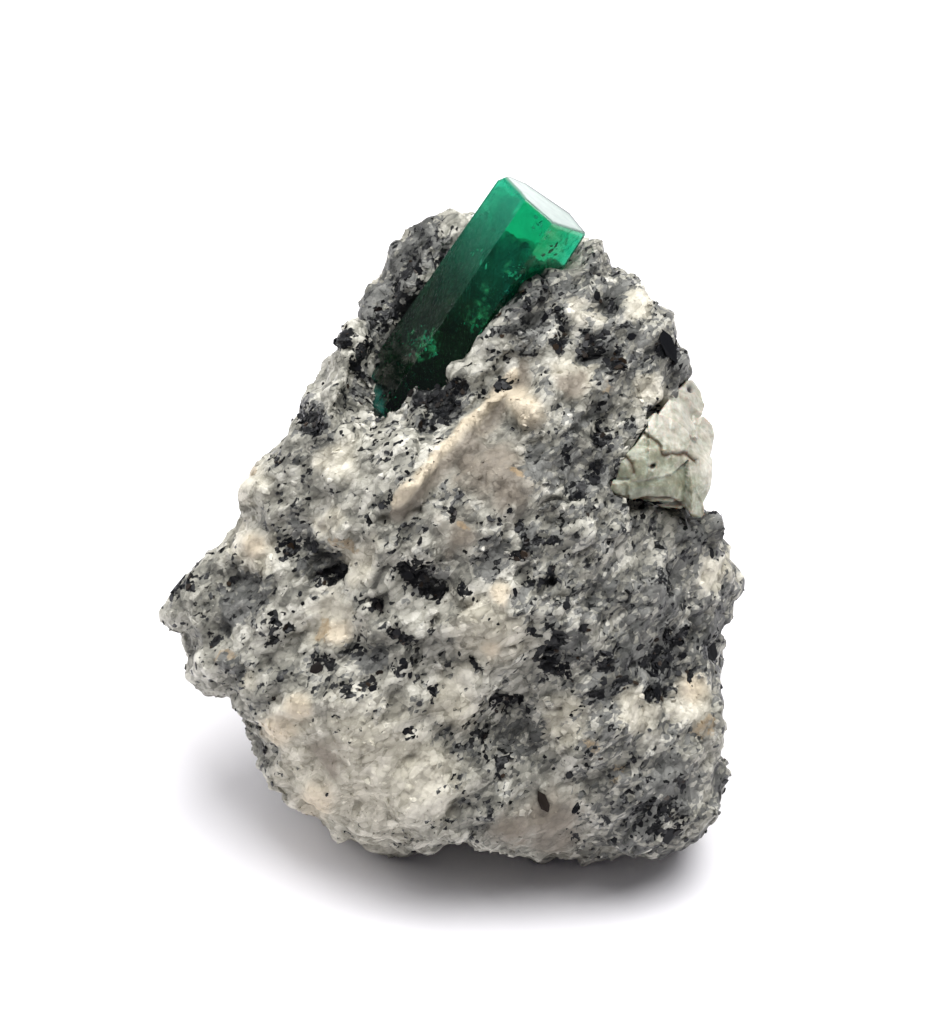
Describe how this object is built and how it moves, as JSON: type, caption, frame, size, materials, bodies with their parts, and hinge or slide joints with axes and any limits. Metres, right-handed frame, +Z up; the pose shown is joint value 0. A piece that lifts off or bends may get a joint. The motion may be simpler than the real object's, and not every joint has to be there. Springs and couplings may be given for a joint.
{
  "type": "emerald in matrix",
  "caption": "Mineral specimen: a hexagonal green emerald prism set in a notch of a broken lump of grey quartz and mica rock, with a block of pale beryl in its edge.",
  "frame": {"origin": "middle of the bounding box's underside, on the surface that the lump rests on", "axes": "+Z up, +X to the right seen from the front, -Y out of the broad front face that holds the emerald"},
  "size_m": [0.034, 0.0324, 0.0348],
  "materials": {
    "matrix_rock": "broken granular rock: translucent grey-white quartz and feldspar with black mica in bands",
    "emerald": "clear deep green crystal with glossy flat faces and a lighter tip",
    "pale_beryl": "cloudy pale green crystal with brown-stained cracks"
  },
  "bodies": {
    "root": {"matrix": "matrix_rock", "emerald_crystal": "emerald", "pale_beryl": "pale_beryl"}
  },
  "joints": []
}
